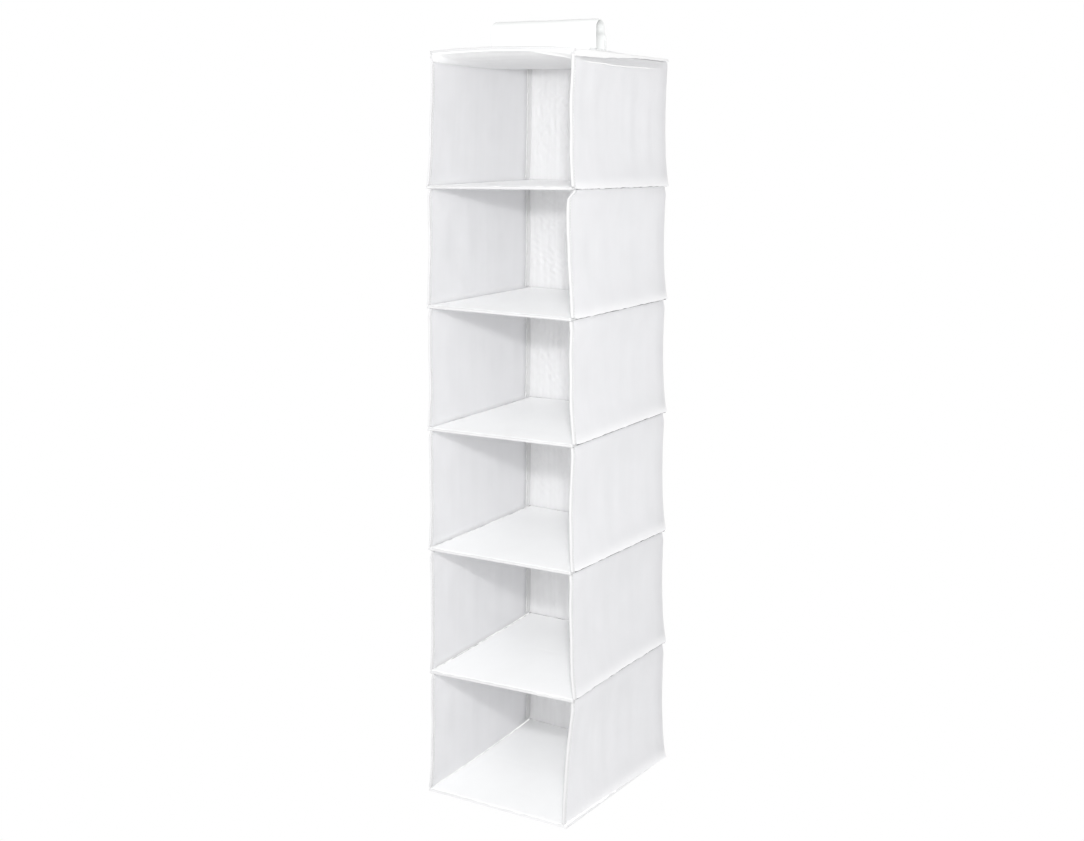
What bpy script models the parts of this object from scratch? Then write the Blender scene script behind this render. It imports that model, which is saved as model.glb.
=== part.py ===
"""Hanging fabric shoe organizer.

Six open compartments hang one above the other under a stiff top panel. A wide strap
with a hook-and-loop closure goes over a closet rail. Each shelf is a stiff board in a
fabric envelope, with piping around its edge, and fabric walls hang between the shelves.

+X is to the right, +Y to the back and +Z up. The origin is on the rail's axis, at the
middle of the strap. All sizes are in metres.
"""

import math

import bmesh
import bpy
from mathutils import Vector

# driving dimensions
WIDTH = 0.250            # across the piping, left to right
DEPTH = 0.320            # across the piping, front to back
COMPARTMENTS = 6
PITCH = 0.189            # from one shelf to the next
RAIL_RADIUS = 0.0125
TOP_Z = -0.0355          # upper face of the top panel, below the rail's axis
GAP = 0.0003             # left between pieces that touch

# panels: a board in a fabric envelope, with piping around it
PANEL_THICK = 0.005
FABRIC = 0.0008
PIPING_RADIUS = 0.0022
PIPING_SIDES = 8

# walls and the tape folded over their front edges
WALL_THICK = 0.0015
WALL_INSET = 0.0020      # from the piping's outside to the wall's outer face
BINDING_WIDTH = 0.0070   # how far back the tape reaches
BINDING_TAPE = 0.0010
VALANCE_DROP = 0.010
VALANCE_THICK = 0.0012

# strap
STRAP_WIDTH = 0.190
STRAP_THICK = 0.0020
STRAP_FOOT = 0.022       # the length sewn flat on the top panel
CROWN_STEPS = 12
TAPE_WIDTH = 0.170
TAPE_THICK = 0.0012
TAPE_LOW_Z = -0.0320
TAPE_HIGH_Z = -0.0170
TAB_HIGH_Z = -0.0155
FLAP_FOLD_Z = -0.0020    # where the flap starts to lean out from the rail
FLAP_KNEE_Z = -0.0120    # where it turns straight down, over the closure
FLAP_LOW_Z = -0.0345

# positions worked out from the dimensions above
CROWN_RADIUS = RAIL_RADIUS + GAP + STRAP_THICK / 2
CROWN_OUTSIDE = CROWN_RADIUS + STRAP_THICK / 2
SIDE_X = WIDTH / 2 - WALL_INSET
END_Y = DEPTH / 2 - WALL_INSET
PIPING_X = WIDTH / 2 - PIPING_RADIUS
PIPING_Y = DEPTH / 2 - PIPING_RADIUS
COVER_X = PIPING_X - PIPING_RADIUS - GAP
COVER_Y = PIPING_Y - PIPING_RADIUS - GAP
TAB_Y = CROWN_RADIUS + GAP
LOOP_Y = TAB_Y + STRAP_THICK / 2 + GAP + TAPE_THICK / 2
HOOK_Y = LOOP_Y + TAPE_THICK + GAP
FLAP_Y = HOOK_Y + TAPE_THICK / 2 + GAP + STRAP_THICK / 2

# colours: red, green, blue, then roughness
WHITE_FABRIC = (0.86, 0.86, 0.85, 0.85)
SHELF_FABRIC = (0.84, 0.85, 0.86, 0.80)
WHITE_TAPE = (0.90, 0.90, 0.89, 0.75)
BOARD_GREY = (0.62, 0.58, 0.52, 0.90)
STRAP_WHITE = (0.92, 0.92, 0.91, 0.80)
CLOSURE_WHITE = (0.88, 0.88, 0.87, 0.95)


def clear_scene():
    """Remove whatever the file starts with."""
    for obj in list(bpy.data.objects):
        bpy.data.objects.remove(obj, do_unlink=True)


def material(name, look):
    """A plain finish, made once for each name."""
    found = bpy.data.materials.get(name)
    if found:
        return found
    made = bpy.data.materials.new(name)
    made.use_nodes = True
    shader = made.node_tree.nodes["Principled BSDF"]
    shader.inputs["Base Color"].default_value = (*look[:3], 1.0)
    shader.inputs["Roughness"].default_value = look[3]
    shader.inputs["Metallic"].default_value = 0.0
    return made


def add_object(name, mesh_data, look_name, look, parent=None):
    """Give a bmesh an object, a material and, where it moves, a parent empty."""
    mesh = bpy.data.meshes.new(name)
    mesh_data.to_mesh(mesh)
    mesh_data.free()
    mesh.materials.append(material(look_name, look))
    obj = bpy.data.objects.new(name, mesh)
    bpy.context.scene.collection.objects.link(obj)
    if parent:
        obj.parent = parent
        obj.matrix_parent_inverse = parent.matrix_world.inverted()
    return obj


def empty(name, location, parent=None):
    """A joint's frame: the pieces that move with the joint are its children."""
    made = bpy.data.objects.new(name, None)
    made.location = location
    bpy.context.scene.collection.objects.link(made)
    bpy.context.view_layer.update()
    if parent:
        made.parent = parent
        made.matrix_parent_inverse = parent.matrix_world.inverted()
        bpy.context.view_layer.update()
    return made


def box(low, high):
    """A closed box between two corners."""
    shape = bmesh.new()
    bmesh.ops.create_cube(shape, size=1.0)
    low, high = Vector(low), Vector(high)
    for vert in shape.verts:
        for axis in range(3):
            share = vert.co[axis] + 0.5
            vert.co[axis] = low[axis] + share * (high[axis] - low[axis])
    return shape


def extrude_outline(points, offset):
    """A closed prism from a flat outline, moved along offset."""
    shape = bmesh.new()
    face = shape.faces.new([shape.verts.new(p) for p in points])
    moved = bmesh.ops.extrude_face_region(shape, geom=[face])["geom"]
    verts = [item for item in moved if isinstance(item, bmesh.types.BMVert)]
    bmesh.ops.translate(shape, verts=verts, vec=offset)
    bmesh.ops.recalc_face_normals(shape, faces=shape.faces)
    return shape


def envelope(low, high, wall):
    """A flat fabric pocket: a box with a slot for a board, open at its rear edge."""
    shape = box(low, high)
    rear = max(shape.faces, key=lambda face: face.calc_center_median().y)
    bmesh.ops.inset_region(shape, faces=[rear], thickness=wall, depth=0.0)
    moved = bmesh.ops.extrude_face_region(shape, geom=[rear])["geom"]
    verts = [item for item in moved if isinstance(item, bmesh.types.BMVert)]
    reach = (high[1] - low[1]) - wall
    bmesh.ops.translate(shape, verts=verts, vec=(0.0, -reach, 0.0))
    bmesh.ops.delete(shape, geom=[rear], context="FACES")
    bmesh.ops.recalc_face_normals(shape, faces=shape.faces)
    return shape


def piping_ring(half_x, half_y, mid_z):
    """Round piping swept around a rectangle, with mitred corners and flat outer sides."""
    shape = bmesh.new()
    corner_radius = PIPING_RADIUS / math.cos(math.pi / PIPING_SIDES)
    rings = []
    for sign_x, sign_y in ((1, 1), (-1, 1), (-1, -1), (1, -1)):
        ring = []
        for step in range(PIPING_SIDES):
            angle = 2 * math.pi * (step + 0.5) / PIPING_SIDES
            out = corner_radius * math.cos(angle)
            up = corner_radius * math.sin(angle)
            place = (sign_x * (half_x + out), sign_y * (half_y + out), mid_z + up)
            ring.append(shape.verts.new(place))
        rings.append(ring)
    for corner, ring in enumerate(rings):
        after = rings[(corner + 1) % len(rings)]
        for step in range(PIPING_SIDES):
            other = (step + 1) % PIPING_SIDES
            shape.faces.new((ring[step], ring[other], after[other], after[step]))
    bmesh.ops.recalc_face_normals(shape, faces=shape.faces)
    return shape


def ribbon(path, thick, width):
    """A band of even thickness along a path in the YZ plane, centred on X = 0."""
    path = [Vector(point) for point in path]
    one_side, other_side = [], []
    for index, point in enumerate(path):
        before = (point - path[index - 1]).normalized() if index else None
        after = (path[index + 1] - point).normalized() if index + 1 < len(path) else None
        along = ((before or after) + (after or before)).normalized()
        across = Vector((-along.y, along.x))
        reach = thick / 2 / max(0.5, along.dot(after or before))
        one_side.append(point + across * reach)
        other_side.append(point - across * reach)
    outline = [(-width / 2, p.x, p.y) for p in one_side + other_side[::-1]]
    return extrude_outline(outline, (width, 0.0, 0.0))


def arc(radius, start, end, steps):
    """Points on a circle about the origin, with angles in degrees."""
    angles = [math.radians(start + (end - start) * n / steps) for n in range(steps + 1)]
    return [(radius * math.cos(a), radius * math.sin(a)) for a in angles]


def shelf_z(level):
    """The upper face of the panel at a level: 0 is the top, COMPARTMENTS the base."""
    return TOP_Z - PITCH * level


def panel_name(level):
    """What the panel at a level is called."""
    return {0: "top", COMPARTMENTS: "base"}.get(level, f"shelf_{level}")


def make_panel(level, parent):
    """Envelope, board and piping of the panel at a level."""
    name = panel_name(level)
    high = shelf_z(level)
    low = high - PANEL_THICK
    cover = envelope((-COVER_X, -COVER_Y, low), (COVER_X, COVER_Y, high), FABRIC)
    add_object(f"{name}_cover", cover, "shelf_fabric", SHELF_FABRIC, parent)
    inner = FABRIC + GAP
    board = box(
        (-COVER_X + inner, -COVER_Y + inner, low + inner),
        (COVER_X - inner, COVER_Y - inner, high - inner),
    )
    add_object(f"{name}_board", board, "board_grey", BOARD_GREY, parent)
    piping = piping_ring(PIPING_X, PIPING_Y, (low + high) / 2)
    ring = add_object(f"{name}_piping", piping, "white_tape", WHITE_TAPE, parent)
    ring.data.shade_smooth()
    ring.data.set_sharp_from_angle(angle=math.radians(60))


def binding_outline(side, z):
    """The U of a tape folded over a side wall's front edge; side is -1 or 1."""
    outside = side * (SIDE_X + GAP + BINDING_TAPE)
    slot_out = side * (SIDE_X + GAP)
    slot_in = side * (SIDE_X - WALL_THICK - GAP)
    inside = side * (SIDE_X - WALL_THICK - GAP - BINDING_TAPE)
    front = -END_Y
    nose = front + BINDING_TAPE
    back = front + BINDING_WIDTH
    outline = (
        (outside, back), (outside, nose), (outside - side * BINDING_TAPE, front),
        (inside + side * BINDING_TAPE, front), (inside, nose), (inside, back),
        (slot_in, back), (slot_in, nose), (slot_out, nose), (slot_out, back),
    )
    return [(x, y, z) for x, y in outline]


def make_compartment(number, parent):
    """Walls and front bindings between two panels. They hang from the upper one."""
    high = shelf_z(number - 1) - PANEL_THICK - GAP
    low = shelf_z(number) + GAP
    wall_front = -END_Y + BINDING_TAPE + GAP
    side_back = END_Y - WALL_THICK - GAP
    for side, word in ((-1, "left"), (1, "right")):
        edges = sorted((side * SIDE_X, side * (SIDE_X - WALL_THICK)))
        wall = box((edges[0], wall_front, low), (edges[1], side_back, high))
        add_object(f"{word}_wall_{number}", wall, "white_fabric", WHITE_FABRIC, parent)
        tape = extrude_outline(binding_outline(side, low), (0.0, 0.0, high - low))
        add_object(f"{word}_binding_{number}", tape, "white_tape", WHITE_TAPE, parent)
    back = box((-SIDE_X, END_Y - WALL_THICK, low), (SIDE_X, END_Y, high))
    add_object(f"back_wall_{number}", back, "white_fabric", WHITE_FABRIC, parent)


def make_valance(parent):
    """The hem band that hangs under the front edge of the top panel."""
    half = SIDE_X - WALL_THICK - BINDING_TAPE - 2 * GAP
    front = -END_Y
    high = TOP_Z - PANEL_THICK - GAP
    band = box(
        (-half, front, high - VALANCE_DROP),
        (half, front + VALANCE_THICK, high),
    )
    add_object("valance", band, "white_tape", WHITE_TAPE, parent)


def make_strap(parent, flap_parent):
    """The strap over the rail, its tab behind the rail, the flap and the closure."""
    foot_z = TOP_Z + GAP + STRAP_THICK / 2
    front_leg = [(-CROWN_RADIUS - STRAP_FOOT, foot_z), (-CROWN_RADIUS, foot_z)]
    crown = arc(CROWN_RADIUS, 180.0, 0.0, CROWN_STEPS)
    strap = ribbon(front_leg + crown, STRAP_THICK, STRAP_WIDTH)
    add_object("rail_strap", strap, "strap_white", STRAP_WHITE, parent)

    tab_path = [(TAB_Y, TAB_HIGH_Z), (TAB_Y, foot_z), (TAB_Y - STRAP_FOOT, foot_z)]
    tab = ribbon(tab_path, STRAP_THICK, STRAP_WIDTH)
    add_object("strap_rear_tab", tab, "strap_white", STRAP_WHITE, parent)

    for name, middle, owner in (("loop_tape", LOOP_Y, parent), ("hook_tape", HOOK_Y, flap_parent)):
        tape = box(
            (-TAPE_WIDTH / 2, middle - TAPE_THICK / 2, TAPE_LOW_Z),
            (TAPE_WIDTH / 2, middle + TAPE_THICK / 2, TAPE_HIGH_Z),
        )
        add_object(name, tape, "closure_white", CLOSURE_WHITE, owner)

    flap_path = [
        (CROWN_RADIUS, -GAP), (CROWN_RADIUS, FLAP_FOLD_Z),
        (FLAP_Y, FLAP_KNEE_Z), (FLAP_Y, FLAP_LOW_Z),
    ]
    flap = ribbon(flap_path, STRAP_THICK, STRAP_WIDTH)
    add_object("strap_flap", flap, "strap_white", STRAP_WHITE, flap_parent)


def main():
    clear_scene()
    make_panel(0, None)
    make_valance(None)
    strap_hinge = empty("strap_open", (0.0, CROWN_OUTSIDE, 0.0))
    make_strap(None, strap_hinge)
    above = None
    for number in range(1, COMPARTMENTS + 1):
        make_compartment(number, above)
        above = empty(f"collapse_{number}", (0.0, 0.0, shelf_z(number)), above)
        make_panel(number, above)


main()
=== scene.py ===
"""Looks of a hanging fabric shoe organizer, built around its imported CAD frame.

Every fabric piece replaces a plain CAD solid: panels (a board in an envelope), the walls
and front bindings of six compartments, the seam lips, the top's lining and the strap.
Lengths are in metres, in the CAD's frame: +X right, +Y back, +Z up, origin on the rail.
"""

import math

import bpy
import numpy as np
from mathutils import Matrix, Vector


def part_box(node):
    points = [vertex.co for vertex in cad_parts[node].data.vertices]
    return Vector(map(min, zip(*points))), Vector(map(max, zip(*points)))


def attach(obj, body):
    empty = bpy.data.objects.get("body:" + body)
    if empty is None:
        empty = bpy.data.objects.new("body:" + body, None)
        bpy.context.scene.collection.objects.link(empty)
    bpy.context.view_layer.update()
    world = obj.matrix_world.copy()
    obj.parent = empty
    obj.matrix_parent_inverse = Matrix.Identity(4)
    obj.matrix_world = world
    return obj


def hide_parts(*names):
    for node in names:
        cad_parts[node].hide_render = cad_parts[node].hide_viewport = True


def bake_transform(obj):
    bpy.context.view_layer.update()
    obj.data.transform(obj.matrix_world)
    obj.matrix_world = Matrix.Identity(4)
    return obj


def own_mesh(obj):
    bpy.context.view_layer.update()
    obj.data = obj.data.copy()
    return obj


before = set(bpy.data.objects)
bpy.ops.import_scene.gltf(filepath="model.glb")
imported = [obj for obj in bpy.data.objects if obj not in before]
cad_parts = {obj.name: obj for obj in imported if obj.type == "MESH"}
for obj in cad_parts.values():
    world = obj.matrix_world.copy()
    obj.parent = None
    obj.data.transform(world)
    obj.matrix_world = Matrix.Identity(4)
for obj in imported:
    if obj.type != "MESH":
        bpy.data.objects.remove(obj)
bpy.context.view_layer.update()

# ---------------- sizes from the frame
COMPARTMENTS = 6
PANELS = ["top"] + [f"shelf_{n}" for n in range(1, COMPARTMENTS)] + ["base"]
SIDES = {"left": -1, "right": 1}
HALF_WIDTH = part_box("top_piping")[1].x
HALF_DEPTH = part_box("top_piping")[1].y
TOP_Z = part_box("top_cover")[1].z
COVER_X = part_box("top_cover")[1].x
COVER_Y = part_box("top_cover")[1].y
WALL_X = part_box("right_wall_1")[1].x
WALL_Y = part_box("back_wall_1")[1].y
LEVEL_Z = np.array([sum(corner.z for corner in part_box(f"{panel}_cover")) / 2 for panel in PANELS])

# ---------------- fabric sizes
CLOTH = 0.0012           # a wall's thickness
TAPE = 0.0009            # the lining's thickness, and a seam allowance's
STRAP = 0.0020           # the strap's
TAB = 0.0018             # the rear tab's
NAP = 0.0010             # a closure tape's
HEM = (0.0040, 0.0028, 0.0022, 0.0018, 0.0013, 0.0018)   # a wall's overlap over its panel's edge
HEM_WAVE = 0.0008        # how wavy that overlap is
FLARE = (0.0014, 0.008)  # how far the hem turns out, and over what height
SWELL = (0.0019, 0.028)  # the same for the faint spread above it
TUCK = 0.0020            # how far a wall's upper end is tucked in
TOP_TUCK = 0.0003        # the same under the top panel
# how far an upright edge bows in, by side and by end (-1 is the front)
CORNER_BOWS = {(-1, -1): 0.0012, (1, -1): 0.0034, (-1, 1): 0.0020, (1, 1): 0.0020}
WALL_BOWS = {-1: -0.0020, 1: 0.0080}   # how far the middle of a side wall leans in
BACK_BOW = 0.0024        # the same for a back wall
SIDE_FOLDS = ((0.060, 0.0005), (0.016, 0.00014))    # soft and fine folds: their length and depth
BACK_FOLDS = ((0.034, 0.0014), (0.0085, 0.00075))
FOLD_RISE = 0.18         # the height that a slanting fold is drawn over
CREASE = 0.011           # the length of a back wall's creases
CREASED_HEIGHT = 0.186   # the height that they are spread over
CRUMPLE = (0.0032, 0.0038, 0.0032, 0.0024, 0.0016, 0.0012)   # depth of a back wall's creases
STITCH = (0.0030, 0.0012, 0.00025)     # a stitch's length, gap and radius
PANEL_X = COVER_X + 0.0022             # the envelopes reach under the walls
PANEL_Y = COVER_Y + 0.0034
LIP_X = HALF_WIDTH - 0.0018
LIP_Y = HALF_DEPTH - 0.0002
STRAP_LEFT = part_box("rail_strap")[0].x - 0.0010
STRAP_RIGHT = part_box("rail_strap")[1].x - 0.0100
STRAP_SEAM = 0.006       # from the strap's edge to its stitches
STRAP_FOOT = 0.0012      # the middle of the strap's foot over the top panel
SEAM_WIDTH = 0.0200      # a corner's seam allowance
# where each kind of piece starts its random draws
SEEDS = {"front": 40, "side": 100, "back": 300, "binding": 500, "panel": 700, "underside": 800,
         "lip": 900, "corner": 1200, "edge": 77, "lining": 17, "strap": 61}

# how far each level hangs off true: left front, right front, right rear, left rear
HANG = np.array([
    (1.0, 0.0, -4.0, -2.0),
    (-7.0, -5.0, -8.5, -5.5),
    (3.0, -4.0, 0.0, 5.5),
    (4.0, 0.0, 5.5, 8.5),
    (5.0, -2.5, -2.5, 9.5),
    (-3.5, -9.0, -2.5, 9.5),
    (-9.0, -21.0, -13.0, 7.0),
]) * 0.001
# how far each level's corners are pulled to the right, in the same order
SWAY = np.array([
    (10.0, 0.0, 0.0, 0.0),
    (0.5, -1.5, 0.0, -4.0),
    (-1.0, -1.5, 0.0, -4.5),
    (-2.0, 1.5, 1.5, -4.5),
    (-2.5, -1.0, 2.5, -4.5),
    (-2.5, 3.5, 5.5, -4.5),
    (-7.0, -6.5, 7.5, -4.5),
]) * 0.001
TOP_BOW = 0.0040         # how far the strap lifts the middle of the top


# ---------------- materials
class Nodes:
    """A small helper for making and joining shader nodes."""

    def __init__(self, name):
        self.material = bpy.data.materials.new(name)
        self.material.use_nodes = True
        self.tree = self.material.node_tree
        self.shader = self.tree.nodes["Principled BSDF"]

    def add(self, kind, **values):
        node = self.tree.nodes.new(kind)
        for key, value in values.items():
            if hasattr(node, key):
                setattr(node, key, value)
            else:
                node.inputs[key.replace("_", " ").title()].default_value = value
        return node

    def join(self, out, into):
        self.tree.links.new(out, into)

    def maths(self, operation, first, second):
        node = self.add("ShaderNodeMath", operation=operation)
        for socket, value in zip(node.inputs, (first, second)):
            if isinstance(value, (int, float)):
                socket.default_value = value
            else:
                self.join(value, socket)
        return node.outputs[0]


STREAKS = (160.0, 7.0)       # repeats per metre, across and along the warp
BLOTCHES = (22.0, 16.0)
FUZZ = (900.0, 900.0)
BAND_SCALE = 3.1831          # bands per metre in a wave texture of scale 1
BUMP_DISTANCE = 0.00025
DOUBLED_SHARE = 0.3          # how much of the light passes where the cloth is double


def cloth_material(name, colour, shade, weave=0.0011, depth=0.35, streak=0.5, sheen=0.15,
                   through=0.0, hem=0.0, gloss=0.25, rough=0.85):
    """Woven polyester: threads both ways, faint streaks along the warp, soft blotches.

    UVs are in metres, so the threads keep their real size. colour is the light tone
    and shade how much darker its streaks get. through is the share of light that
    passes, which is less where the cloth is folded double, below the height hem.
    """
    nodes = Nodes(name)
    coords = nodes.add("ShaderNodeTexCoord").outputs["UV"]

    def stretched(scale_u, scale_v):
        mapping = nodes.add("ShaderNodeMapping")
        nodes.join(coords, mapping.inputs["Vector"])
        mapping.inputs["Scale"].default_value = (scale_u, scale_v, 1.0)
        return mapping.outputs["Vector"]

    def noise(scales, detail):
        vector = stretched(*scales)
        node = nodes.add("ShaderNodeTexNoise", scale=1.0, detail=detail)
        nodes.join(vector, node.inputs["Vector"])
        return node.outputs["Fac"]

    def threads(direction):
        node = nodes.add("ShaderNodeTexWave", bands_direction=direction, wave_type="BANDS")
        node.inputs["Scale"].default_value = 1.0 / weave / BAND_SCALE
        node.inputs["Distortion"].default_value = 0.6
        node.inputs["Detail"].default_value = 1.0
        nodes.join(coords, node.inputs["Vector"])
        return node.outputs["Fac"]

    streaks = noise(STREAKS, 3.0)
    blotches = noise(BLOTCHES, 2.0)
    mixed = nodes.add("ShaderNodeMix", data_type="RGBA")
    tone = nodes.maths("ADD", nodes.maths("MULTIPLY", streaks, streak),
                       nodes.maths("MULTIPLY", blotches, 1.0 - streak))
    ramp = nodes.add("ShaderNodeMapRange")
    ramp.inputs["From Min"].default_value = 0.38
    ramp.inputs["From Max"].default_value = 0.62
    nodes.join(tone, ramp.inputs["Value"])
    nodes.join(ramp.outputs["Result"], mixed.inputs[0])
    dark = tuple(channel * (1.0 - shade) for channel in colour)
    mixed.inputs[6].default_value = (*dark, 1.0)
    mixed.inputs[7].default_value = (*colour, 1.0)
    nodes.join(mixed.outputs[2], nodes.shader.inputs["Base Color"])

    weave_height = nodes.maths("ADD", threads("X"), threads("Y"))
    fuzz = noise(FUZZ, 2.0)
    height = nodes.maths("ADD", nodes.maths("MULTIPLY", weave_height, 0.5), fuzz)
    bump = nodes.add("ShaderNodeBump")
    bump.inputs["Strength"].default_value = depth
    bump.inputs["Distance"].default_value = BUMP_DISTANCE
    nodes.join(height, bump.inputs["Height"])
    nodes.join(bump.outputs["Normal"], nodes.shader.inputs["Normal"])
    nodes.shader.inputs["Roughness"].default_value = rough
    nodes.shader.inputs["Specular IOR Level"].default_value = gloss
    nodes.shader.inputs["Sheen Weight"].default_value = sheen
    nodes.shader.inputs["Sheen Roughness"].default_value = 0.6
    if through > 0:
        glow = nodes.add("ShaderNodeBsdfTranslucent")
        nodes.join(mixed.outputs[2], glow.inputs["Color"])
        nodes.join(bump.outputs["Normal"], glow.inputs["Normal"])
        blend = nodes.add("ShaderNodeMixShader")
        blend.inputs["Fac"].default_value = through
        if hem > 0:
            place = nodes.add("ShaderNodeSeparateXYZ")
            nodes.join(coords, place.inputs["Vector"])
            doubled = nodes.add("ShaderNodeMapRange")
            doubled.inputs["From Max"].default_value = hem
            doubled.inputs["To Min"].default_value = DOUBLED_SHARE * through
            doubled.inputs["To Max"].default_value = through
            nodes.join(place.outputs["Y"], doubled.inputs["Value"])
            nodes.join(doubled.outputs["Result"], blend.inputs["Fac"])
        nodes.join(nodes.shader.outputs["BSDF"], blend.inputs[1])
        nodes.join(glow.outputs["BSDF"], blend.inputs[2])
        nodes.join(blend.outputs["Shader"], nodes.tree.nodes["Material Output"].inputs["Surface"])
    return nodes.material


WALL_CLOTH = {"shade": 0.020, "streak": 0.35, "through": 0.5, "hem": 0.017}
MATERIALS = {
    "wall": cloth_material("wall_fabric", (0.94, 0.94, 0.95), **WALL_CLOTH),
    # painted shade: the walls of the two lowest compartments are a darker copy of the wall cloth,
    # as the lamps light them more
    "low_wall": cloth_material("shaded_low_wall_fabric", (0.925, 0.925, 0.935), **WALL_CLOTH),
    "back": cloth_material("back_fabric", (0.93, 0.93, 0.935), 0.04, streak=0.8, through=0.5),
    "shelf": cloth_material("shelf_fabric", (0.975, 0.98, 0.982), 0.015, depth=0.3, streak=0.2,
                            gloss=0.8, rough=0.42),
    "lining": cloth_material("lining_fabric", (0.96, 0.96, 0.96), 0.02, streak=0.3,
                             gloss=0.8, rough=0.42),
    # painted shade: the corner seams' tape is grey so that it reads as the shaded corner fold
    "tape": cloth_material("corner_shade_tape", (0.78, 0.78, 0.78), 0.03, weave=0.0008),
    # painted shade: the band and the pressed tape are darker copies of the white tape, held down
    # where they face the lamps; the pressed tape is the darker one
    "band": cloth_material("edge_band", (0.85, 0.85, 0.85), 0.03, weave=0.0008),
    "edge": cloth_material("shaded_pressed_tape", (0.66, 0.66, 0.665), 0.03, weave=0.0008),
    # painted shade and light: the seam lips are a darker copy of the shelf cloth, to hold down
    # their lit front, and the base's lip a lighter copy, to wash out the shade under it
    "lip": cloth_material("lip_fabric", (0.66, 0.66, 0.665), 0.02),
    "base_lip": cloth_material("base_lip_fabric", (0.72, 0.72, 0.725), 0.02),
    # painted shade: a dark grey for the lip's faces deep in the fold between two walls, standing in
    # for the shade there
    "seam": cloth_material("painted_fold_shade", (0.26, 0.26, 0.27), 0.10),
    "strap": cloth_material("strap_webbing", (0.80, 0.81, 0.805), 0.02, weave=0.0013),
    "closure": cloth_material("closure_tape", (0.86, 0.86, 0.85), 0.06, weave=0.0009, depth=0.9),
    "thread": cloth_material("thread", (0.88, 0.88, 0.88), 0.04, weave=0.0004),
    "board": cloth_material("board", (0.55, 0.49, 0.40), 0.10, weave=0.003, sheen=0.0),
}


# ---------------- meshes
def ripple(turns):
    """The sine of a number of turns."""
    return np.sin(2 * math.pi * turns)


def smooth(value, low=0.0, high=1.0):
    """A smooth step from 0 at low to 1 at high."""
    t = np.clip((value - low) / (high - low), 0.0, 1.0)
    return t * t * (3.0 - 2.0 * t)


def hang(points):
    """Move points of the straight frame to where the uneven fabric has them."""
    moved = np.array(points, dtype=float)
    x, y, z = moved.T
    right = np.clip(0.5 + x / (2 * HALF_WIDTH), 0.0, 1.0)
    rear = np.clip(0.5 + y / (2 * HALF_DEPTH), 0.0, 1.0)
    heights = LEVEL_Z[::-1]
    corners = [np.interp(z, heights, HANG[::-1, corner]) for corner in range(4)]
    front = corners[0] + (corners[1] - corners[0]) * right
    back = corners[3] + (corners[2] - corners[3]) * right
    bow = TOP_BOW * np.sin(math.pi * right) * smooth(z, LEVEL_Z[1], LEVEL_Z[0])
    nearness = ((1 - right) * (1 - rear), right * (1 - rear), right * rear, (1 - right) * rear)
    pull = sum(np.interp(z, heights, SWAY[::-1, corner]) * near ** 2
               for corner, near in enumerate(nearness))
    # the strap stays where it is around the rail
    fade = 1 - smooth(z, TOP_Z + 0.002, -0.006)
    moved[:, 0] += pull * fade
    moved[:, 2] += (front + (back - front) * rear + bow) * fade
    return moved


def new_object(name, points, faces, uvs, look, sharp=35.0):
    """An object from vertices, faces and one UV pair for each face corner."""
    mesh = bpy.data.meshes.new(name)
    mesh.from_pydata([tuple(p) for p in hang(points)], [], [tuple(f) for f in faces])
    layer = mesh.uv_layers.new(name="cloth")
    flat = np.array(uvs, dtype=np.float32).reshape(-1)
    layer.data.foreach_set("uv", flat)
    mesh.materials.append(MATERIALS[look])
    mesh.update()
    mesh.shade_smooth()
    mesh.set_sharp_from_angle(angle=math.radians(sharp))
    obj = bpy.data.objects.new(name, mesh)
    bpy.context.scene.collection.objects.link(obj)
    return obj


def grid_normals(grid):
    """Unit normals of a rows x columns grid of points."""
    along_rows = np.gradient(grid, axis=0)
    along_cols = np.gradient(grid, axis=1)
    normals = np.cross(along_cols, along_rows)
    return normals / np.linalg.norm(normals, axis=2, keepdims=True)


def running(steps):
    """Distances along a path from its start, from the lengths of its steps."""
    return np.concatenate([[0.0], np.cumsum(steps)])


def grid_lengths(grid):
    """Distances over the cloth along its columns and up its rows, for UVs."""
    across = np.linalg.norm(np.diff(grid, axis=1), axis=2).mean(axis=0)
    up = np.linalg.norm(np.diff(grid, axis=0), axis=2).mean(axis=1)
    return np.meshgrid(running(across), running(up))


def shell_faces(rows, cols):
    """Faces of two equal grids of points, one under the other, closed along their rim."""
    under = rows * cols
    faces = []
    for row in range(rows - 1):
        for col in range(cols - 1):
            a = row * cols + col
            b, c, d = a + 1, a + cols + 1, a + cols
            faces.append((a, b, c, d))
            faces.append((a + under, d + under, c + under, b + under))
    loop = list(range(cols))
    loop += [row * cols + cols - 1 for row in range(1, rows)]
    loop += [(rows - 1) * cols + col for col in range(cols - 2, -1, -1)]
    loop += [row * cols for row in range(rows - 2, 0, -1)]
    for index, a in enumerate(loop):
        b = loop[(index + 1) % len(loop)]
        faces.append((a, a + under, b + under, b))
    return faces


def thick_sheet(name, grid, look, thick=CLOTH):
    """A closed sheet of even thickness around a grid of mid-surface points."""
    normals = grid_normals(grid)
    points = np.concatenate([
        (grid + normals * thick / 2).reshape(-1, 3),
        (grid - normals * thick / 2).reshape(-1, 3),
    ])
    across, up = grid_lengths(grid)
    place = np.stack([across.reshape(-1), up.reshape(-1)], axis=1)
    place = np.concatenate([place, place])
    faces = shell_faces(*grid.shape[:2])
    uvs = [place[corner] for face in faces for corner in face]
    return new_object(name, points, faces, uvs, look)


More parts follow.
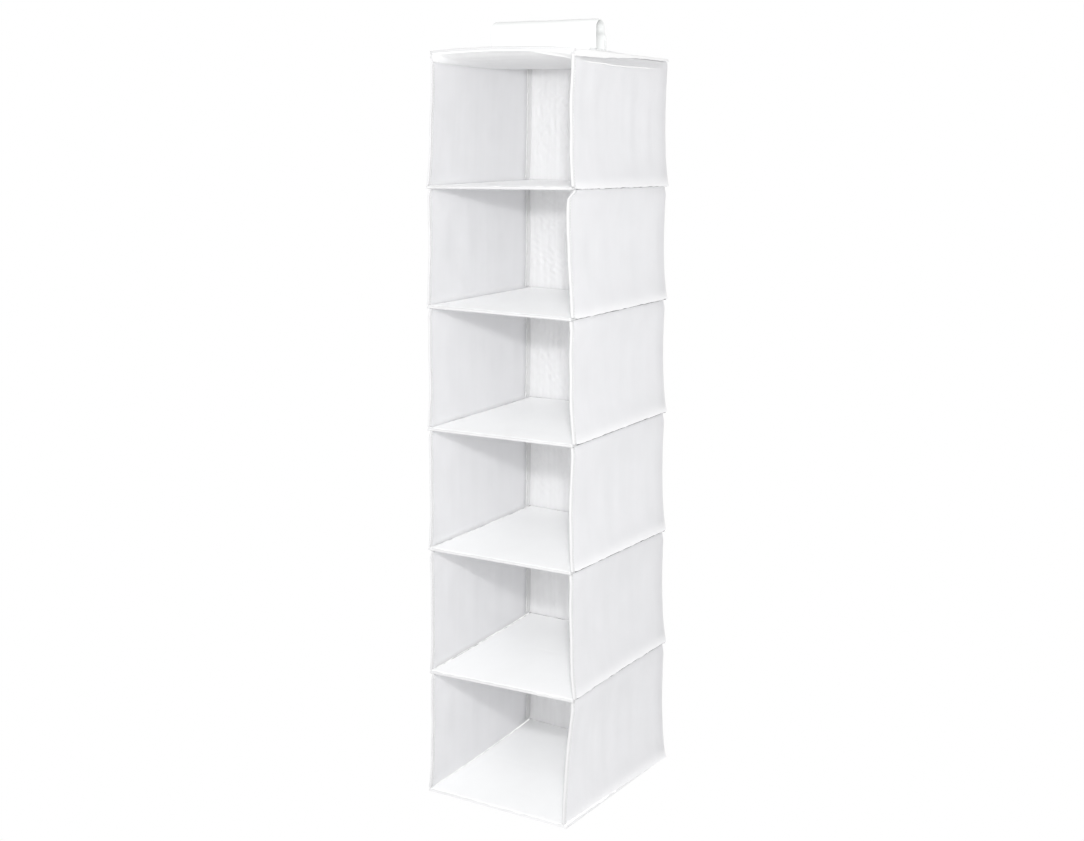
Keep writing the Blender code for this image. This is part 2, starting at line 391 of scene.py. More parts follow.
def sweep(name, rings, look, closed=False):
    """A closed solid through rings of points; a closed sweep joins its ends."""
    count, sides = rings.shape[:2]
    points = rings.reshape(-1, 3)
    lengths = np.linalg.norm(np.diff(rings[:, 0], axis=0), axis=1)
    along = running(lengths)
    around = running(np.linalg.norm(np.diff(rings[0], axis=0, append=rings[0][:1]), axis=1))
    faces, uvs = [], []
    for row in range(count if closed else count - 1):
        after = (row + 1) % count
        far = along[row + 1] if row + 1 < count else along[row] + lengths.mean()
        for side in range(sides):
            other = (side + 1) % sides
            faces.append((row * sides + side, row * sides + other,
                          after * sides + other, after * sides + side))
            uvs += [(around[side], along[row]), (around[side + 1], along[row]),
                    (around[side + 1], far), (around[side], far)]
    if not closed:
        first = tuple(range(sides - 1, -1, -1))
        last = tuple((count - 1) * sides + side for side in range(sides))
        for face, v in ((first, along[0]), (last, along[-1])):
            faces.append(face)
            uvs += [(around[corner % sides], v) for corner in face]
    return new_object(name, points, faces, uvs, look, 40.0)


def folds(across, up, seed, length, count=9, lean=0.12):
    """Soft folds that run mostly upwards: waves across, each fading in and out."""
    rng = np.random.default_rng(seed)
    total = np.zeros_like(across)
    for _ in range(count):
        wave = length * rng.uniform(0.55, 1.9)
        phase = rng.uniform(0.0, 2.0 * math.pi)
        tilt = rng.uniform(-lean, lean)
        middle = rng.uniform(0.0, 1.0)
        reach = rng.uniform(0.35, 0.9)
        size = rng.uniform(0.4, 1.0) * min(1.0, wave / length)
        fade = np.exp(-(((up - middle) / reach) ** 2))
        slanted = across + tilt * up * FOLD_RISE
        total += size * fade * np.sin(2 * math.pi * slanted / wave + phase)
    return total / math.sqrt(count)


def crumples(across, height, seed, length):
    """Sharp little creases in every direction but level, in patches."""
    count = 16
    rng = np.random.default_rng(seed)
    total = np.zeros_like(across)
    for _ in range(count):
        angle = rng.uniform(-1.15, 1.15)
        wave = length * rng.uniform(0.6, 1.8)
        place = (across * math.cos(angle) + height * math.sin(angle)) / wave + rng.uniform()
        patch = ripple(across * rng.uniform(5, 13) + rng.uniform())
        patch *= ripple(height * rng.uniform(5, 13) + rng.uniform())
        total += np.clip(patch + 0.2, 0.0, 1.0) * (0.64 - np.abs(np.sin(math.pi * place)))
    return total / math.sqrt(count)


def stitches(name, starts, ends):
    """One object of short rounded stitches between pairs of points."""
    sides, radius = 6, STITCH[2]
    points, faces = [], []
    for start, end in zip(starts, ends):
        along = end - start
        along = along / np.linalg.norm(along)
        helper = np.array((0.0, 0.0, 1.0)) if abs(along[2]) < 0.9 else np.array((1.0, 0.0, 0.0))
        across = np.cross(along, helper)
        across /= np.linalg.norm(across)
        other = np.cross(along, across)
        base = len(points)
        stops = ((0.0, 0.35), (0.18, 1.0), (0.82, 1.0), (1.0, 0.35))
        for share, width in stops:
            centre = start + (end - start) * share
            for step in range(sides):
                angle = 2 * math.pi * step / sides
                offset = across * math.cos(angle) + other * math.sin(angle)
                points.append(centre + offset * radius * width)
        for ring in range(len(stops) - 1):
            for step in range(sides):
                nxt = (step + 1) % sides
                low = base + ring * sides
                faces.append((low + step, low + nxt, low + sides + nxt, low + sides + step))
        faces.append(tuple(base + step for step in range(sides - 1, -1, -1)))
        top = base + (len(stops) - 1) * sides
        faces.append(tuple(top + step for step in range(sides)))
    uvs = [(points[corner][0] + points[corner][1], points[corner][2])
           for face in faces for corner in face]
    return new_object(name, points, faces, uvs, "thread", 60.0)


def stitch_line(path):
    """Where the stitches along a path start and end."""
    along = running(np.linalg.norm(np.diff(path, axis=0), axis=1))
    pitch = STITCH[0] + STITCH[1]
    first = np.arange(STITCH[1], along[-1] - STITCH[0], pitch)

    def at(distance):
        return np.stack([np.interp(distance, along, path[:, i]) for i in range(3)], axis=1)

    return at(first), at(first + STITCH[0])


# ---------------- shape of the fabric
def wall_rows(count=34):
    """Heights over a wall's lower edge, from 0 to 1, closer together in the flare."""
    return np.concatenate([np.linspace(0.0, 0.14, 9), np.linspace(0.14, 1.0, count)[1:]])


def wall_span(number):
    """The lower and upper edge of a compartment's walls."""
    low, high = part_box(f"left_wall_{number}")
    return low.z, high.z


def flare(up, number):
    """How far a wall's lower end turns out."""
    low, high = wall_span(number)
    height = up * (high - low)
    return sum(reach * np.exp(-height / over) for reach, over in (FLARE, SWELL))


def tuck(up, number):
    """How far a wall's upper end is tucked in, under the hem or the band above it."""
    return (TUCK if number > 1 else TOP_TUCK) * smooth(up, 0.93, 1.0)


def front_quirk(side, number, up):
    """Small faults of a front edge: how far it leans in, and how far its corner rounds back."""
    rng = np.random.default_rng(SEEDS["front"] + 7 * number + (3 if side > 0 else 0))
    inwards = 0.0006 * ripple(up * rng.uniform(1.2, 2.4) + rng.uniform())
    back = 0.0005 * ripple(up * rng.uniform(0.8, 1.9) + rng.uniform())
    fade = np.sin(math.pi * up)
    inwards, back = inwards * fade, back * fade
    down = 1.0 - up
    if side > 0 and number == 2:
        inwards = inwards + 0.0050 * smooth(down, 0.0, 0.07) * (1 - smooth(down, 0.25, 0.75))
        back = back + 0.011 * (1 - smooth(down, 0.0, 0.085)) ** 1.6
    if side > 0 and number == COMPARTMENTS:
        inwards = inwards + 0.0085 * down ** 1.2
    return inwards, back


def corner_line(side, end, number, up):
    """The upright line where a side wall meets the opening (end -1) or the back wall (1)."""
    low, high = wall_span(number)
    out = -tuck(up, number) - CORNER_BOWS[side, end] * np.sin(math.pi * up)
    spread = flare(up, number)
    x = side * (WALL_X - CLOTH / 2 + out + spread * (0.5 if end < 0 else 1.0))
    y = end * (WALL_Y - CLOTH / 2 + (0.6 * out if end < 0 else out + spread))
    if end < 0:
        inwards, back = front_quirk(side, number, up)
        x = x - side * inwards
        y = y + back
    return np.stack([x + 0 * up, y + 0 * up, low + up * (high - low)], axis=-1)


def hem_drop(along, up, number, seed):
    """How far the lower end of a wall hangs over its panel's edge: a wavy hem."""
    rng = np.random.default_rng(seed)
    wave = sum(ripple(along * n + rng.uniform()) for n in (3, 7, 11, 16)) / 4
    return (HEM[number - 1] + HEM_WAVE * wave) * (1 - smooth(up, 0.0, 0.10))


def side_wall_surface(side, number, up, along):
    """Mid-surface of a side wall at shares of its height and of the way to the back."""
    front = corner_line(side, -1, number, up)
    front[..., 1] += 0.0013
    rear = corner_line(side, 1, number, up)
    grid = front + (rear - front) * along[..., None]
    spread = 0.5 * flare(up, number) * (smooth(along, 0.0, 0.08) - along)
    bow = WALL_BOWS[side] * np.sin(math.pi * up) ** 0.8 * np.sin(math.pi * along)
    ends = smooth(along, 0.0, 0.06) * (1 - smooth(along, 0.97, 1.0))
    seed = SEEDS["side"] + number * 2 + (side > 0)
    soft, fine = (folds(along * 2 * WALL_Y, up, seed + later, length) * depth
                  for later, (length, depth) in zip((0, 50), SIDE_FOLDS))
    creased = (soft + fine) * ends * np.sin(math.pi * up) ** 0.45
    grid[..., 0] += side * (creased + spread - bow)
    return grid


def side_wall_grid(side, number):
    """A side wall and its hem: rows go up, columns go from front to back."""
    up, along = np.meshgrid(wall_rows(), np.linspace(0.0, 1.0, 61), indexing="ij")
    grid = side_wall_surface(side, number, up, along)
    drop = hem_drop(along, up, number, SEEDS["side"] + number * 2 + (side > 0))
    grid[..., 2] -= drop * smooth(along, 0.0, 0.05)
    return grid


def back_wall_grid(number):
    """Mid-surface of a back wall: rows go up, columns from left to right."""
    up, along = np.meshgrid(wall_rows(72), np.linspace(0.0, 1.0, 141), indexing="ij")
    left = corner_line(-1, 1, number, up)
    right = corner_line(1, 1, number, up)
    grid = left + (right - left) * along[..., None]
    ends = smooth(along, 0.0, 0.05) * (1 - smooth(along, 0.95, 1.0))
    seed = SEEDS["back"] + number
    across = along * 2 * WALL_X
    soft, fine = (folds(across, up, seed + later, length, count) * depth
                  for later, count, (length, depth) in zip((0, 50), (12, 14), BACK_FOLDS))
    creases = crumples(across, up * CREASED_HEIGHT, seed + 90, CREASE)
    fine += creases * CRUMPLE[number - 1]
    bow = BACK_BOW * np.sin(math.pi * up) * np.sin(math.pi * along)
    grid[..., 1] += (soft + fine) * ends * (0.25 + 0.75 * np.sin(math.pi * up) ** 0.5) - bow
    grid[..., 2] -= hem_drop(along, up, number, seed)
    return grid


# the outline of a tape folded over an edge: across it, and back from its nose
BINDING_OUTLINE = np.array([
    (2.0, 7.2), (2.1, 6.5), (2.1, 4.2), (2.1, 2.2), (1.7, 0.9), (0.9, 0.2), (0.0, 0.0),
    (-0.9, 0.2), (-1.7, 0.9), (-2.1, 2.2), (-2.1, 4.2), (-2.1, 6.5), (-2.0, 7.2),
    (-0.85, 7.2), (-0.8, 1.7), (0.8, 1.7), (0.85, 7.2),
]) * 0.001
BINDING_STITCH = (0.0021, 0.0056)    # across, and back from the nose
BINDING_SPREAD = {-1: 0.62, 1: 1.0}  # the left edges are pressed flatter


def binding_rings(side, number):
    """The folded tape along a front edge, as rings that go up."""
    up = np.linspace(0.0, 1.0, 48)
    line = corner_line(side, -1, number, up)
    if number == 1:
        top = line[-1] + np.linspace(0.1, 1.0, 4)[:, None] * (side * 0.0022, -0.0012, 0.0046)
        line = np.concatenate([line, top])
    rng = np.random.default_rng(SEEDS["binding"] + number * 2 + (side > 0))
    turns = np.linspace(0.0, 3.1, len(line)) + rng.uniform()
    swell = BINDING_SPREAD[side] * (1.0 + 0.06 * ripple(turns))
    rings = np.repeat(line[:, None, :], len(BINDING_OUTLINE), axis=1)
    rings[..., 0] += side * BINDING_OUTLINE[None, :, 0] * swell[:, None]
    rings[..., 1] += BINDING_OUTLINE[None, :, 1] - 0.0006
    return rings, line


def rounded_loop(half_x, half_y, radius, ear):
    """Points and outward directions around a rectangle whose corners stick out a little."""
    step = 0.005
    places, outward = [], []
    corners = [(1, -1), (1, 1), (-1, 1), (-1, -1)]
    for index, (sx, sy) in enumerate(corners):
        for turn in np.linspace(0.0, 1.0, 7):
            angle = math.radians(-90 + 90 * index + 90 * turn)
            direction = np.array((math.cos(angle), math.sin(angle)))
            centre = np.array((sx * (half_x - radius), sy * (half_y - radius)))
            stick = ear * math.sin(math.pi * turn) ** 2
            diagonal = np.array((sx, sy)) / math.sqrt(2)
            places.append(centre + direction * radius + diagonal * stick)
            outward.append(direction)
        nx, ny = corners[(index + 1) % 4]
        start = places[-1]
        direction = outward[-1]
        next_centre = np.array((nx * (half_x - radius), ny * (half_y - radius)))
        end = next_centre + direction * radius
        count = int(np.linalg.norm(end - start) / step)
        for share in np.arange(1, count) / count:
            places.append(start + (end - start) * share)
            outward.append(direction)
    return np.array(places), np.array(outward)


def uneven_around(count, seed, least, orders):
    """A random waviness at a number of places around a closed outline."""
    rng = np.random.default_rng(seed)
    turns = np.arange(count) / count
    return sum(rng.uniform(least, 1.0) * ripple(turns * n + rng.uniform()) for n in orders)


def lip_rings(level):
    """The seam lip around a panel: a soft flattened roll with small ears at its corners."""
    radius_out, radius_up, uneven = 0.0020, 0.0021, 0.00035
    places, outward = rounded_loop(LIP_X - radius_out, LIP_Y - radius_out, 0.004, 0.0034)
    wobble = uneven_around(len(places), SEEDS["lip"] + level, 0.3, (5, 9, 14, 23, 37, 51)) / 2.5
    angles = 2 * math.pi * (np.arange(10) + 0.5) / 10
    rings = np.zeros((len(places), len(angles), 3))
    reach = radius_out * np.cos(angles)[None, :] * (1 + 0.12 * wobble[:, None])
    rings[..., :2] = places[:, None, :] + outward[:, None, :] * reach[..., None]
    rings[..., :2] += (outward * (uneven * wobble)[:, None])[:, None, :]
    rings[..., 2] = LEVEL_Z[level] + radius_up * np.sin(angles)[None, :] + uneven * wobble[:, None]
    return rings


def slab_lines(half, count):
    """Grid lines across a slab, closer together near its rounded edges."""
    edge = np.array((0.0, 0.0003, 0.0009, 0.0017, 0.0028))
    inner = np.linspace(-half + 0.006, half - 0.006, count)
    return np.concatenate([-half + edge, inner, half - edge[::-1]])


def puckers(x, y, seed):
    """Faint unevenness of the cloth over a board, and the crease where the board folds."""
    rng = np.random.default_rng(seed)
    uneven = folds(x, (y + 0.16) / 0.32, seed, 0.07, lean=0.6)
    uneven = (uneven + folds(y, (x + 0.12) / 0.24, seed + 9, 0.09, lean=0.6)) * 0.00022
    line = rng.uniform(-0.012, 0.030) + 0.08 * rng.uniform(-1, 1) * x
    crease = -0.0007 * np.exp(-(((y - line) / 0.0022) ** 2)) * (0.5 + 0.5 * np.sin(x * 21 + seed))
    near = -COVER_Y + rng.uniform(0.045, 0.070)
    second = -0.0004 * np.exp(-(((y - near - 0.05 * x) / 0.0018) ** 2))
    return uneven + crease + second * np.exp(-((x / 0.05) ** 2))


def strap_pull(x, y):
    """How far the top panel's cloth is pulled up under the strap."""
    across = 1 - smooth(np.abs(x), 0.085, 0.122)
    along = np.exp(-((y / 0.060) ** 2)) + 0.35 * np.exp(-(((y + 0.12) / 0.07) ** 2))
    return 0.0042 * across * along


def slab(name, half_x, half_y, upper, lower, look):
    """A thin slab with rounded edges between two height functions of x, y and nearness."""
    xs, ys = slab_lines(half_x, 44), slab_lines(half_y, 56)
    y, x = np.meshgrid(ys, xs, indexing="ij")
    to_edge = np.minimum(half_x - np.abs(x), half_y - np.abs(y))
    points = np.concatenate([
        np.stack([x, y, upper(x, y, to_edge)], axis=-1).reshape(-1, 3),
        np.stack([x, y, lower(x, y, to_edge)], axis=-1).reshape(-1, 3),
    ])
    faces = shell_faces(*x.shape)
    uvs = [(points[corner][0], points[corner][1]) for face in faces for corner in face]
    return new_object(name, points, faces, uvs, look, 50.0)


def panel_mesh(level):
    """A fabric envelope pulled over its board."""
    name = f"{PANELS[level]}_cover"
    low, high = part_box(name)
    round_edge = (high.z - low.z) / 2

    def half(to_edge):
        short = 1 - np.clip(to_edge / round_edge, 0, 1)
        return round_edge * np.sqrt(np.clip(1 - short ** 2, 0.04, 1))

    def upper(x, y, to_edge):
        inside = smooth(to_edge, 0.001, 0.010)
        pulled = strap_pull(x, y) if level == 0 else 0.0
        uneven = puckers(x, y, SEEDS["panel"] + level)
        return LEVEL_Z[level] + half(to_edge) + (uneven + pulled) * inside

    def lower(x, y, to_edge):
        inside = smooth(to_edge, 0.001, 0.010)
        uneven = np.abs(puckers(x, y, SEEDS["underside"] + level))
        return LEVEL_Z[level] - half(to_edge) - uneven * inside * 0.5

    return slab(f"{name}_cloth", PANEL_X, PANEL_Y, upper, lower, "shelf")


def board_mesh(level):
    """The stiff board inside a panel."""
    low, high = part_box(f"{PANELS[level]}_board")
    half = (high.z - low.z) / 2 - 0.0002

    def upper(x, y, to_edge):
        return LEVEL_Z[level] + half * (0.8 + 0.2 * smooth(to_edge, 0, 0.002))

    def lower(x, y, to_edge):
        return 2 * LEVEL_Z[level] - upper(x, y, to_edge)

    return slab(f"{PANELS[level]}_stiffener", high.x, high.y, upper, lower, "board")


# ---------------- building the pieces
LINING_X = COVER_X + 0.0004
LINING_Y = COVER_Y + 0.0010


def collapse(obj):
    """Give a piece its own copy of its mesh."""
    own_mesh(obj)


def shade_lip(lip, level):
    """Paint the lip's faces deep in the fold between two walls dark grey, as painted shade; the lip
    at the opening keeps its own tone.
    """
    lip.data.materials.append(MATERIALS["seam"])
    for face in lip.data.polygons:
        x, y = abs(face.center.x), face.center.y
        folded = (x > LIP_X - 0.008 and abs(y) < LIP_Y - 0.014) or y > LIP_Y - 0.008
        face.material_index = 1 if folded and level < COMPARTMENTS else 0


def make_panels():
    """Boards, their envelopes and the seam lips of the top, the shelves and the base."""
    for level, body in enumerate(PANELS):
        cover = panel_mesh(level)
        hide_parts(f"{body}_cover")
        board = board_mesh(level)
        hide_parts(f"{body}_board")
        lips = []
        if level > 0:
            # the base's lighter lip is painted light, the other lips' darker one painted shade
            look = "lip" if level < COMPARTMENTS else "base_lip"
            lip = sweep(f"{body}_seam_lip", lip_rings(level), look, closed=True)
            shade_lip(lip, level)
            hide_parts(f"{body}_piping")
            lips.append(lip)
        for piece in (cover, board, *lips):
            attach(piece, body)


def hang_pieces(pieces, number):
    """Let pieces of a compartment ride with the panel above them, each with its own mesh."""
    for piece in pieces:
        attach(piece, PANELS[number - 1])
        collapse(piece)


def make_walls():
    """Walls, folded front bindings, their stitches and the inner corner seams."""
    for number in range(1, COMPARTMENTS + 1):
        for word, side in SIDES.items():
            grid = side_wall_grid(side, number)
            # the two lowest compartments take the darker wall copy, painted shade
            look = "low_wall" if number >= COMPARTMENTS - 1 else "wall"
            wall = thick_sheet(f"{word}_wall_{number}_cloth", grid, look)
            rings, line = binding_rings(side, number)
            # the front binding takes the darker pressed tape, painted shade against the lamps
            tape = sweep(f"{word}_binding_{number}_tape", rings, "edge")
            extras = [tape, corner_seam(side, number),
                      upper_seam(f"{word}_wall_{number}", grid, (side, 0.0, 0.0))]
            for face in (-1, 1):
                path = line.copy()
                path[:, 0] += face * (BINDING_STITCH[0] * BINDING_SPREAD[side] + 0.0001)
                path[:, 1] += BINDING_STITCH[1] - 0.0006
                starts, ends = stitch_line(path)
                place = {1: "outer", -1: "inner"}[face * side]
                extras.append(stitches(f"{word}_binding_{number}_{place}_stitches", starts, ends))
            hang_pieces((wall, *extras), number)
            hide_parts(f"{word}_wall_{number}")
            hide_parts(f"{word}_binding_{number}")
        grid = back_wall_grid(number)
        back = thick_sheet(f"back_wall_{number}_cloth", grid, "back")
        seam = upper_seam(f"back_wall_{number}", grid, (0.0, 1.0, 0.0))
        hang_pieces((back, seam), number)
        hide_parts(f"back_wall_{number}")


def upper_seam(name, grid, outward):
    """The stitches along a wall's upper end, on its outer face."""
    row = grid[-1] * 0.55 + grid[-2] * 0.45
    starts, ends = stitch_line(row[2:-2] + np.array(outward) * (CLOTH / 2 + 0.0001))
    return stitches(f"{name}_seam_stitches", starts, ends)


def corner_seam(side, number):
    """The puckered seam allowance inside a rear corner, lying along the side wall, in a grey tape
    that is painted shade.
    """
    rows, shares = np.linspace(0.010, 0.990, 120), np.linspace(0.0, 1.0, 7)
    up, share = np.meshgrid(rows, shares, indexing="ij")
    low, high = wall_span(number)
    height = low + up * (high - low)
    rng = np.random.default_rng(SEEDS["corner"] + 2 * number + (side > 0))
    pucker = ripple(height / 0.021 + rng.uniform())
    pucker += 0.6 * ripple(height / 0.0131 + rng.uniform())
    width = SEAM_WIDTH * (1 + 0.12 * pucker)
    along = 1 - (0.0015 + share * width) / (2 * WALL_Y)
    strip = side_wall_surface(side, number, up, along)
    strip[..., 0] -= side * (0.0013 + 0.0034 * share ** 2 * (1 + 0.4 * pucker))
    strip[..., 2] = height
    name = f"{'right' if side > 0 else 'left'}_corner_seam_{number}"
    return thick_sheet(name, strip, "tape", TAPE)


def make_top_edge():
    """The top panel's turned-down edge: deeper at the front of its sides than at the back."""
    places, outward = rounded_loop(HALF_WIDTH - 0.0018, HALF_DEPTH - 0.0014, 0.004, 0.0010)
    wobble = uneven_around(len(places), SEEDS["edge"], 0.4, (7, 12, 19, 31)) / 2.0
    back_share = smooth(places[:, 1], -HALF_DEPTH, HALF_DEPTH * 0.8)
    on_side = np.abs(outward[:, 0]) ** 2
    drop = 0.0034 + on_side * (0.0072 * (1 - back_share) + 0.0010 * wobble)
    outline = [(0.0, 0.0), (0.0008, 0.0003), (0.0012, 0.0011), (0.0013, 0.5), (0.0019, 0.94),
               (0.0014, 1.0), (0.0004, 1.0), (-0.0006, 0.9), (-0.0009, 0.5), (-0.0008, 0.0006)]
    rings = np.zeros((len(places), len(outline), 3))
    for index, (out, down) in enumerate(outline):
        depth = down if down < 0.01 else down * drop
        rings[:, index, :2] = places + outward * out
        rings[:, index, 2] = TOP_Z - 0.0004 - depth + 0.0003 * wobble
    edge = sweep("top_edge_band", rings, "band", closed=True)
    # painted shade: the band's front faces, which face the lamps, take the darker pressed tape
    edge.data.materials.append(MATERIALS["edge"])
    for face in edge.data.polygons:
        face.material_index = 1 if face.center.y < -HALF_DEPTH + 0.004 else 0
    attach(edge, "top")
    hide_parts("top_piping")


def lining_depth(x, y):
    """How far the top's loose lining hangs below the top panel."""
    back = y + LINING_Y
    right = 0.5 + x / (2 * LINING_X)
    rear = back / (2 * LINING_Y)
    border = 0.0095 + 0.0025 * np.sin(math.pi * rear) + 0.0020 * rear * np.sin(math.pi * right)
    border -= 0.0040 * np.exp(-(((1 - rear) / 0.12) ** 2) - ((right / 0.12) ** 2))
    corner = np.maximum(np.exp(-((right / 0.045) ** 2)),
                        0.78 * np.exp(-(((1 - right) / 0.20) ** 2)))
    roll = 0.045 - 0.0425 * corner
    depth = border * (1 - np.exp(-back / roll))
    along = np.clip((x - 0.052) / 0.066, 0.0, 1.0)
    crease = np.exp(-(((back - 0.004 - 0.020 * along) / 0.0030) ** 2))
    crease *= np.sin(math.pi * along) ** 0.5
    seed = SEEDS["lining"]
    uneven = folds(x, rear, seed, 0.06, lean=0.8) * 0.0008
    uneven += folds(back, right, seed + 6, 0.05) * 0.0006
    return depth + uneven * smooth(back, 0.0, 0.02) + 0.0022 * crease


def make_lining():
    """The loose lining under the top panel, which shows as a soft band above the opening."""
    xs = np.linspace(-LINING_X, LINING_X, 97)
    ys = -LINING_Y + 2 * LINING_Y * np.linspace(0.0, 1.0, 90) ** 1.8
    y, x = np.meshgrid(ys, xs, indexing="ij")
    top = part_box("top_cover")[0].z - 0.0002
    grid = np.stack([x, y, top - lining_depth(x, y)], axis=-1)
    lining = thick_sheet("top_lining_cloth", grid, "lining", TAPE)
    path = np.concatenate([grid[2:, 0], grid[-1, 1:-1], grid[:1:-1, -1]])
    angles = 2 * math.pi * np.arange(8) / 8
    tangent = np.gradient(path, axis=0)
    across = np.stack([-tangent[:, 1], tangent[:, 0]], axis=1)
    across /= np.linalg.norm(across, axis=1, keepdims=True)
    rings = np.repeat(path[:, None, :], 8, axis=1)
    rings[..., :2] += across[:, None, :] * 0.0010 * np.cos(angles)[None, :, None]
    rings[..., 2] += 0.0011 * np.sin(angles)[None, :] - 0.0007
    seam = sweep("top_lining_seam", rings, "band")
    for piece in (lining, seam):
        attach(piece, "top")
    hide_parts("valance")


def foot_path(start, end):
    """The sewn foot of a band, from one y to another."""
    return [(start + t * (end - start), TOP_Z + STRAP_FOOT) for t in np.linspace(0, 1, 6)]


def strap_path():
    """The strap from its foot, up in front of the rail, over it and down behind."""
    low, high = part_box("rail_strap")
    radius = high.z - STRAP / 2
    flap_low, flap_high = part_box("strap_flap")
    flap_y = flap_high.y - STRAP / 2
    foot = foot_path(low.y, -radius - 0.003)
    bend = [(-radius - 0.0010, TOP_Z + 0.0022)]
    leg = [(-radius, z) for z in np.linspace(TOP_Z + 0.005, -0.004, 7)]
    crown = [(-radius * math.cos(a), radius * math.sin(a)) for a in np.linspace(0.0, math.pi, 17)]
    fall = [(radius + (flap_y - radius) * float(smooth(t)), -0.012 * t)
            for t in np.linspace(0.12, 1.0, 6)]
    tail = [(flap_y, z) for z in np.linspace(-0.015, flap_low.z, 6)]
    return np.array(foot + bend + leg + crown + fall + tail)


def band_grid(path, cols):
    """A grid over a level band: rows follow a path of y and z, columns go across."""
    grid = np.zeros((len(path), len(cols), 3))
    grid[..., 0] = cols
    grid[..., 1:] = path[:, None]
    return grid


def lift_foot(grid, share):
    """Raise the sewn foot of a band by a share of what it pulls the top panel's cloth up."""
    foot = grid[..., 2] < TOP_Z + 0.004
    grid[..., 2] += np.where(foot, strap_pull(grid[..., 0], grid[..., 1]) * share, 0.0)


def make_strap():
    """The wide strap over the rail, and the stitches along its edges."""
    path = strap_path()
    cols = np.linspace(STRAP_LEFT, STRAP_RIGHT, 57)
    grid = band_grid(path, cols)
    along = np.linspace(0, 1, len(path))[:, None] + 0 * cols
    wave = folds(grid[..., 0].copy(), along, SEEDS["strap"], 0.07)
    grid[..., 0] *= 1 - 0.004 * np.sin(np.linspace(0, math.pi, len(path)))[:, None]
    tangent = np.gradient(path, axis=0)
    tangent /= np.linalg.norm(tangent, axis=1, keepdims=True)
    outward = np.stack([-tangent[:, 1], tangent[:, 0]], axis=1)
    grid[..., 1] += outward[:, 0][:, None] * wave * 0.0004
    grid[..., 2] += outward[:, 1][:, None] * wave * 0.0004
    lift_foot(grid, 1.0)
    strap = thick_sheet("rail_strap_cloth", grid, "strap", STRAP)
    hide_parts("rail_strap", "strap_flap")
    seams = []
    for word, x in (("left", STRAP_LEFT + STRAP_SEAM), ("right", STRAP_RIGHT - STRAP_SEAM)):
        line = np.stack([np.full(len(path), x), path[:, 0] + outward[:, 0] * 0.0011,
                         path[:, 1] + outward[:, 1] * 0.0011], axis=1)[8:]
        starts, ends = stitch_line(line)
        seams.append(stitches(f"strap_{word}_stitches", starts, ends))
    for piece in (strap, *seams):
        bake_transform(piece)


def make_tab():
    """The short tab that stands up behind the rail, with its foot sewn to the top."""
    low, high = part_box("strap_rear_tab")
    y = high.y - 0.0010
    path = foot_path(low.y, y - 0.003)
    path += [(y - 0.0008, TOP_Z + 0.0020)]
    path += [(y, z) for z in np.linspace(TOP_Z + 0.005, high.z, 6)]
    path = np.array(path)
    grid = band_grid(path, np.linspace(STRAP_LEFT, STRAP_RIGHT, 41))
    lift_foot(grid, 0.6)
    tab = thick_sheet("strap_rear_tab_cloth", grid, "strap", TAB)
    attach(tab, "top")
    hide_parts("strap_rear_tab")


def make_closure():
    """Hook and loop tapes: a backing with a fine nap on the face that grips."""
    for name, body, face, ground in (("loop_tape", "top", 1, "strap_rear_tab_cloth"),
                                     ("hook_tape", "flap", -1, "rail_strap_cloth")):
        low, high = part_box(name)
        rows, cols = 14, 90
        up, along = np.meshgrid(np.linspace(0, 1, rows), np.linspace(0, 1, cols), indexing="ij")
        left, right = low.x - 0.0010, high.x - 0.0100
        grid = np.stack([left + along * (right - left),
                         np.full_like(up, (low.y + high.y) / 2),
                         low.z + up * (high.z - low.z)], axis=-1)
        nap = 0.00022 * np.sin(along * cols * math.pi * 0.9) * np.sin(up * rows * math.pi * 0.9)
        grid[..., 1] += face * nap
        tape = thick_sheet(f"{name}_nap", grid, "closure", NAP)
        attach(tape, body)
        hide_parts(name)


# ---------------- studio
CAMERA_AZIMUTH = 29.22   # degrees to the right of the front
CAMERA_PITCH = 9.03      # degrees down
CAMERA_LENS = 55.52
CAMERA_SHIFT = -0.02
EYE_BACK = 2.392         # from the near front edge to the eye, level distance
EYE_LEFT = 0.0439
EYE_DROP = 0.1137        # below the top panel's lower face
FILL = 0.645             # the room's light
# name, degrees to the right of the front, distance, height, height aimed at, size, watts
LAMPS = (
    ("key", 30.0, 2.11, 0.04, -0.60, 0.10, 19.0),
    ("high_box", 26.0, 2.30, 0.95, -0.55, 1.10, 5.0),
    ("low_box", 26.0, 2.40, 0.05, -0.60, 0.80, 22.5),
    ("side_box", 118.0, 1.60, -0.40, -0.60, 1.00, 2.0),
    ("rear_box", 165.0, 1.60, -0.60, -0.60, 1.20, 3.5),
)
FLOOR_DROP = 1.0         # from the base to the floor
FLOOR_REACH = 1.3        # half the floor's width


def make_camera():
    """A nearly level view from the front right, at the height of the first compartment."""
    turn = math.radians(CAMERA_AZIMUTH)
    right = (math.cos(turn), math.sin(turn))
    ahead = (-math.sin(turn), math.cos(turn))
    x = HALF_WIDTH - EYE_LEFT * right[0] - EYE_BACK * ahead[0]
    y = -HALF_DEPTH - EYE_LEFT * right[1] - EYE_BACK * ahead[1]
    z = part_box("top_cover")[0].z - EYE_DROP
    data = bpy.data.cameras.new("camera")
    data.lens = CAMERA_LENS
    data.sensor_width = 36.0
    data.shift_y = CAMERA_SHIFT
    camera = bpy.data.objects.new("camera", data)
    camera.location = (x, y, z)
    camera.rotation_euler = (math.radians(90 - CAMERA_PITCH), 0.0, turn)
    bpy.context.scene.collection.objects.link(camera)
    bpy.context.scene.camera = camera


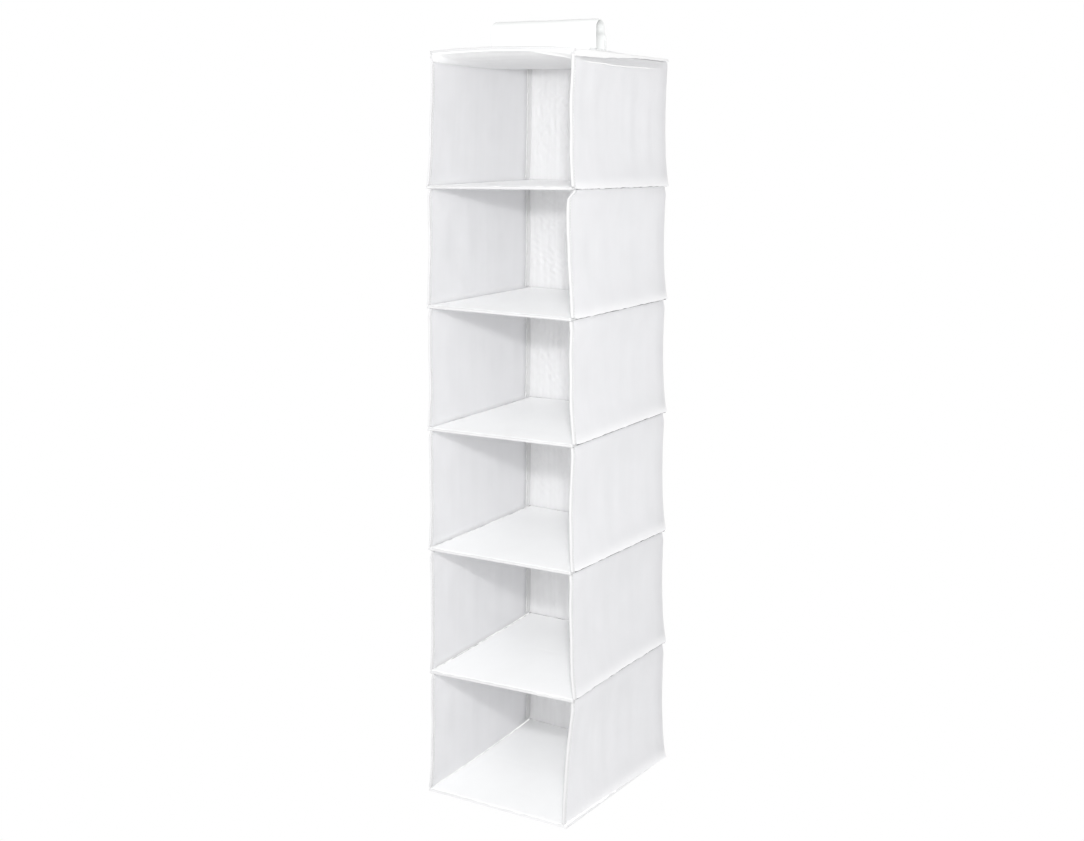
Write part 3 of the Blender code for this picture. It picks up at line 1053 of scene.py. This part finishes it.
def make_floor():
    """A plain pale floor, far wider than the view."""
    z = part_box("base_cover")[0].z - FLOOR_DROP
    material = bpy.data.materials.new("floor_paint")
    material.use_nodes = True
    shader = material.node_tree.nodes["Principled BSDF"]
    shader.inputs["Base Color"].default_value = (0.93, 0.93, 0.93, 1.0)
    shader.inputs["Roughness"].default_value = 0.9
    shader.inputs["Specular IOR Level"].default_value = 0.0
    shader.inputs["Emission Color"].default_value = (1.0, 1.0, 1.0, 1.0)
    shader.inputs["Emission Strength"].default_value = 0.65
    mesh = bpy.data.meshes.new("floor")
    ways = ((-1, -1), (1, -1), (1, 1), (-1, 1))
    corners = [(x * FLOOR_REACH, y * FLOOR_REACH, z) for x, y in ways]
    mesh.from_pydata(corners, [], [(0, 1, 2, 3)])
    mesh.materials.append(material)
    floor = bpy.data.objects.new("floor", mesh)
    bpy.context.scene.collection.objects.link(floor)


def make_light():
    """A soft white room, a key lamp beside the camera and soft boxes around the organizer."""
    world = bpy.data.worlds.new("room")
    world.use_nodes = True
    tree = world.node_tree
    tree.nodes.clear()
    out = tree.nodes.new("ShaderNodeOutputWorld")
    mix = tree.nodes.new("ShaderNodeMixShader")
    path = tree.nodes.new("ShaderNodeLightPath")
    fill, seen = (tree.nodes.new("ShaderNodeBackground") for _ in range(2))
    for node, strength in ((fill, FILL), (seen, 1.0)):
        node.inputs["Color"].default_value = (1.0, 1.0, 1.0, 1.0)
        node.inputs["Strength"].default_value = strength
    tree.links.new(path.outputs["Is Camera Ray"], mix.inputs["Fac"])
    tree.links.new(fill.outputs[0], mix.inputs[1])
    tree.links.new(seen.outputs[0], mix.inputs[2])
    tree.links.new(mix.outputs[0], out.inputs["Surface"])
    bpy.context.scene.world = world

    for lamp in LAMPS:
        add_lamp(*lamp)
    bpy.context.scene.view_settings.view_transform = "Standard"


def add_lamp(name, azimuth, away, z, aim_z, size, watts):
    """An area lamp at an azimuth from the front, aimed at the organizer's middle."""
    turn = math.radians(azimuth)
    data = bpy.data.lights.new(name, "AREA")
    data.shape = "DISK"
    data.size = size
    data.energy = watts
    lamp = bpy.data.objects.new(name, data)
    lamp.location = (away * math.sin(turn), -away * math.cos(turn), z)
    bpy.context.scene.collection.objects.link(lamp)
    x, y, drop = np.array((0.0, 0.0, aim_z)) - np.array(lamp.location)
    lamp.rotation_euler = (math.atan2(math.hypot(x, y), -drop), 0.0, math.atan2(-x, y))


def main():
    make_camera()
    make_panels()
    make_top_edge()
    make_lining()
    make_walls()
    make_strap()
    make_tab()
    make_closure()
    make_floor()
    make_light()


main()
